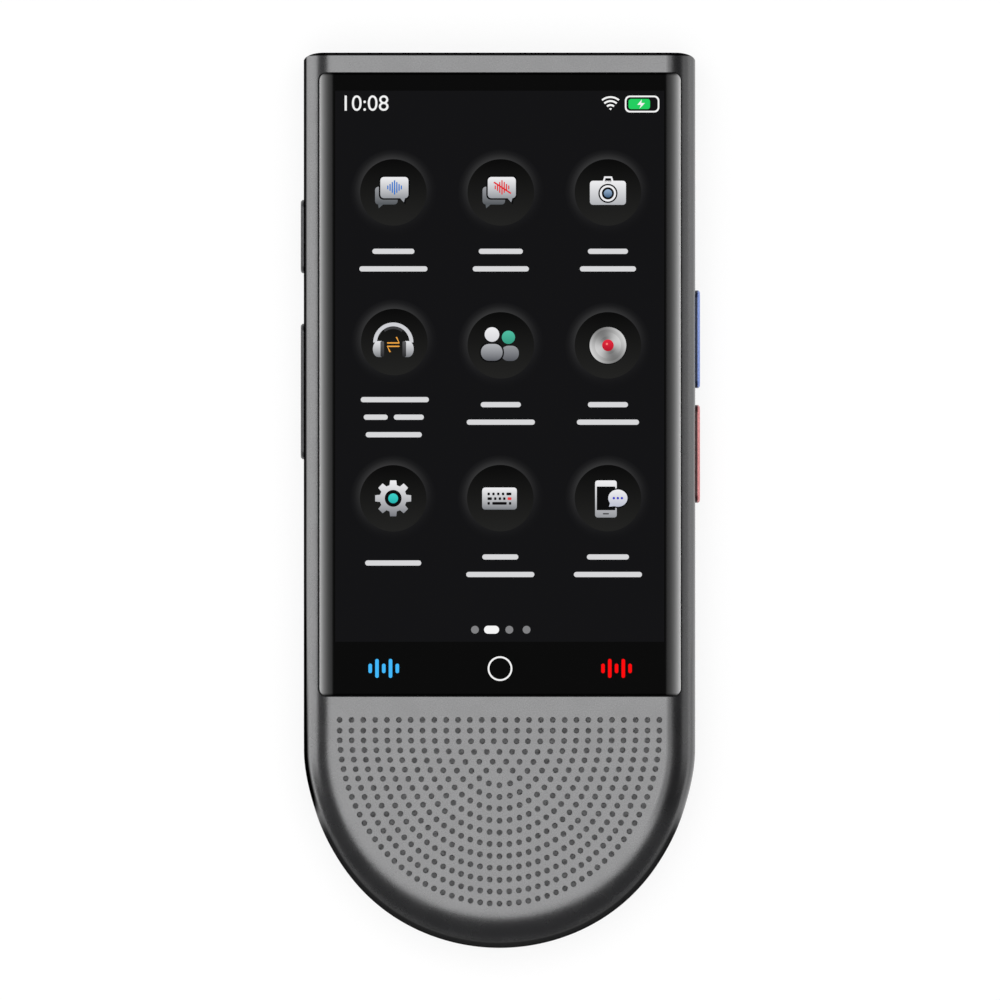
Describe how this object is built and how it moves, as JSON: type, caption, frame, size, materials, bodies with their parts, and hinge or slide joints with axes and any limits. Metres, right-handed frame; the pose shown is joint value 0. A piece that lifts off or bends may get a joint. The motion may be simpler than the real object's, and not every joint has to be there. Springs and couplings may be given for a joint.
{
  "type": "handheld translator",
  "caption": "Handheld translator: slab body with a half-round grille end, touch glass, side volume and power keys, and blue and red talk keys.",
  "frame": {"origin": "centre of the flat back, at the bottom of the bounding box, with the device lying on its back", "axes": "+X to the right seen from the screen, +Y to the top end, +Z out of the screen"},
  "size_m": [0.063, 0.141, 0.0127],
  "materials": {
    "body_paint": "satin dark grey metallic",
    "rear_paint": "satin dark grey metallic",
    "cover_glass": "polished black-edged glass",
    "adhesive": "matt",
    "sensor_film": "clear film",
    "display": "dark display",
    "backlight": "white",
    "light_guide": "clear",
    "flex_film": "amber film",
    "led_body": "clear",
    "frame_metal": "die-cast",
    "circuit_board": "green solder mask",
    "screw_steel": "plain",
    "chip_body": "matt",
    "shield_steel": "tinned",
    "connector": "matt",
    "battery_pouch": "pouch foil",
    "inner_plastic": "matt",
    "magnet": "nickel plated",
    "diaphragm": "matt film",
    "soft_rubber": "matt",
    "mesh_steel": "fine woven mesh",
    "contact_metal": "plated",
    "socket_steel": "stainless",
    "ring_metal": "anodised",
    "window_glass": "polished",
    "flash_lens": "clear",
    "key_metal": "satin dark grey",
    "blue_key": "satin metallic blue",
    "red_key": "satin metallic red",
    "dome_steel": "spring steel"
  },
  "bodies": {
    "housing": {"battery_cell": "battery_pouch", "battery_connector": "connector", "battery_lead": "flex_film", "battery_tape": "adhesive", "blue_dome": "dome_steel", "board_flex": "flex_film", "board_screws": "screw_steel", "camera_module": "inner_plastic", "camera_ring": "ring_metal", "camera_window": "window_glass", "display_adhesive": "adhesive", "display_flex": "flex_film", "flash_led": "led_body", "flash_riser": "connector", "flash_window": "flash_lens", "front_housing": "body_paint", "grille_mesh": "mesh_steel", "lcd_backlight": "backlight", "lcd_panel": "display", "left_key_bracket": "frame_metal", "left_key_flex": "flex_film", "loudspeaker_frame": "inner_plastic", "lower_microphone": "shield_steel", "lower_microphone_boot": "soft_rubber", "main_board": "circuit_board", "memory_chip": "chip_body", "midframe": "frame_metal", "power_dome": "dome_steel", "processor_chip": "chip_body", "processor_shield": "shield_steel", "radio_shield": "shield_steel", "rear_cover": "rear_paint", "red_dome": "dome_steel", "right_key_bracket": "frame_metal", "right_key_flex": "flex_film", "soft_key_led_board": "flex_film", "soft_key_leds": "led_body", "soft_key_light_guide": "light_guide", "speaker_contacts": "contact_metal", "speaker_gasket": "soft_rubber", "speaker_magnet": "magnet", "speaker_surround": "soft_rubber", "sub_board": "circuit_board", "touch_glass": "cover_glass", "touch_sensor": "sensor_film", "upper_microphone": "shield_steel", "upper_microphone_boot": "soft_rubber", "usb_shell": "socket_steel", "usb_tongue": "inner_plastic", "vibration_motor": "shield_steel", "volume_domes": "dome_steel", "wifi_antenna": "contact_metal"},
    "power_key": {"power_button": "key_metal"},
    "volume_key": {"volume_button": "key_metal"},
    "blue_key": {"blue_talk_button": "blue_key"},
    "red_key": {"red_talk_button": "red_key"},
    "speaker_cone": {"speaker_diaphragm": "diaphragm"}
  },
  "joints": [
    {"name": "power_press", "type": "slide", "parent": "housing", "child": "power_key", "axis": [1, 0, 0], "range_m": [0, 0.0003], "stiffness_N_per_m": 2500, "springref_m": -0.0001, "deforming": ["power_dome"]},
    {"name": "volume_rock", "type": "hinge", "parent": "housing", "child": "volume_key", "pos_m": [-0.02875, 0.01725, 0.00625], "axis": [0, 0, 1], "range_deg": [-1.4, 1.4], "stiffness_Nm_per_rad": 0.15, "deforming": ["volume_domes"]},
    {"name": "blue_press", "type": "slide", "parent": "housing", "child": "blue_key", "axis": [-1, 0, 0], "range_m": [0, 0.0003], "stiffness_N_per_m": 2500, "springref_m": -0.0001, "deforming": ["blue_dome"]},
    {"name": "red_press", "type": "slide", "parent": "housing", "child": "red_key", "axis": [-1, 0, 0], "range_m": [0, 0.0003], "stiffness_N_per_m": 2500, "springref_m": -0.0001, "deforming": ["red_dome"]},
    {"name": "cone_travel", "type": "slide", "parent": "housing", "child": "speaker_cone", "axis": [0, 0, 1], "range_m": [-0.0002, 0.0002], "stiffness_N_per_m": 900, "deforming": ["speaker_surround"]}
  ]
}
